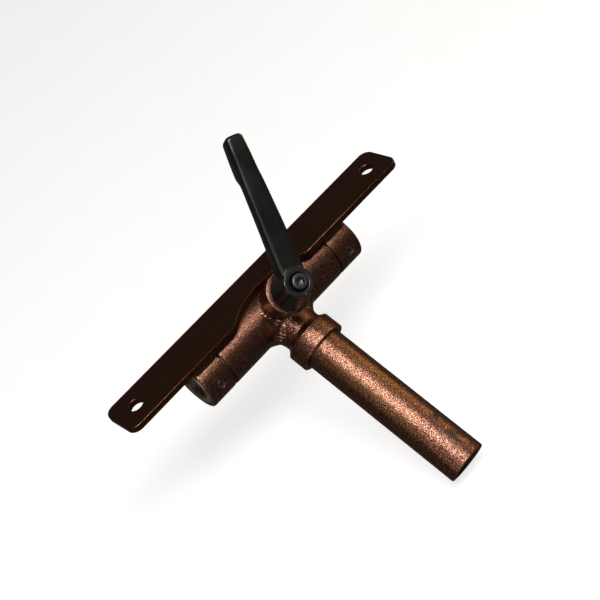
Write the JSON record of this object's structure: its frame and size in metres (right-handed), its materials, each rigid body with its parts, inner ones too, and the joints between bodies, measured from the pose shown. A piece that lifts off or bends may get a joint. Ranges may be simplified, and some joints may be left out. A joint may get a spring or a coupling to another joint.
{
  "type": "lockable tilt bracket",
  "caption": "Flat screw-on bar with a welded tube hinge, a swivelling sleeve carrying a spigot tube with a stop collar, and a clamp lever that locks the tilt.",
  "frame": {"origin": "on the bar's mounting face, midway between its two screw holes", "axes": "+X along the hinge and the bar, +Z out of the mounting face, the spigot leans down and towards -Y"},
  "size_m": [0.2192, 0.138, 0.1954],
  "materials": {
    "copper_vein": "textured copper vein powder coat, semi-gloss",
    "copper_vein_dark": "textured dark copper vein powder coat, semi-gloss",
    "bare_steel": "bare drawn tube, slightly dull",
    "zinc_steel": "zinc plated",
    "spring_steel": "drawn wire",
    "pad_brass": "turned",
    "black_oxide": "black oxide, satin",
    "lever_black": "black powder coat on die-cast zinc, satin"
  },
  "bodies": {
    "bar": {"mounting_bar": "copper_vein_dark", "knuckle_left": "copper_vein", "knuckle_right": "copper_vein", "bar_weld_front_left": "copper_vein", "bar_weld_back_left": "copper_vein", "bar_weld_front_right": "copper_vein", "bar_weld_back_right": "copper_vein", "hinge_pin": "bare_steel", "lock_screw_left": "black_oxide", "lock_screw_right": "black_oxide"},
    "swivel": {"swivel_sleeve": "copper_vein", "spigot_tube": "copper_vein", "spigot_weld": "copper_vein", "stop_collar": "copper_vein", "collar_weld": "copper_vein", "clamp_boss": "copper_vein", "boss_plate": "copper_vein", "boss_weld_left": "copper_vein", "boss_weld_right": "copper_vein"},
    "pad": {"pressure_pad": "pad_brass"},
    "stud": {"clamp_stud": "zinc_steel", "lever_insert": "zinc_steel", "top_screw": "black_oxide", "lever_spring": "spring_steel"},
    "handle": {"lever_handle": "lever_black"}
  },
  "joints": [
    {"name": "tilt", "type": "hinge", "parent": "bar", "child": "swivel", "pos_m": [0, 0, -0.0202], "axis": [1, 0, 0], "range_deg": [-2, 145]},
    {"name": "pad_feed", "type": "slide", "parent": "swivel", "child": "pad", "axis": [0, -0.7923, 0.6101], "range_m": [-0.00025, 0.00225]},
    {"name": "clamp_turn", "type": "hinge", "parent": "pad", "child": "stud", "pos_m": [0, -0.03169, 0.00421], "axis": [0, -0.7923, 0.6101], "range_deg": [-60, 540]},
    {"name": "handle_lift", "type": "slide", "parent": "stud", "child": "handle", "axis": [0, -0.7923, 0.6101], "range_m": [0, 0.0038], "stiffness_N_per_m": 900, "springref_m": -0.002, "deforming": ["lever_spring"]}
  ],
  "couplings": [
    {"joint": "pad_feed", "follows": "clamp_turn", "m_per_rad": 0.00023873}
  ]
}
